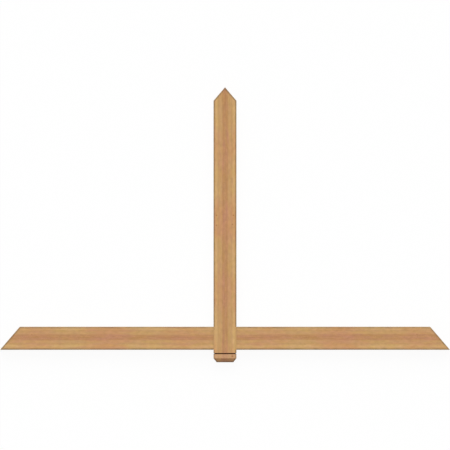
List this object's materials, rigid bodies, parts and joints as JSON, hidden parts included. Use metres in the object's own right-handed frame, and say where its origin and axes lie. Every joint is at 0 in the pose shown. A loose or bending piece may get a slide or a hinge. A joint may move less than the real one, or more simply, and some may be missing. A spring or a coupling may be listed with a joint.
{
  "type": "timber gable bracket",
  "caption": "Decorative gable bracket of a king post halved over a tie beam, fitted under the rafters at the peak of a gable roof.",
  "frame": {"origin": "middle of the crossing of king post and tie beam, on the back face of the tie beam; the bracket lies on its back, so this is also the level of the floor", "axes": "+X along the tie beam to the right as seen from the front, +Y up the king post to the ridge point, +Z from the back face to the front face"},
  "size_m": [2.7432, 1.6764, 0.0889],
  "materials": {
    "planed_timber": "planed softwood, clear satin"
  },
  "bodies": {
    "root": {"king_post": "planed_timber", "tie_beam": "planed_timber"}
  },
  "joints": []
}
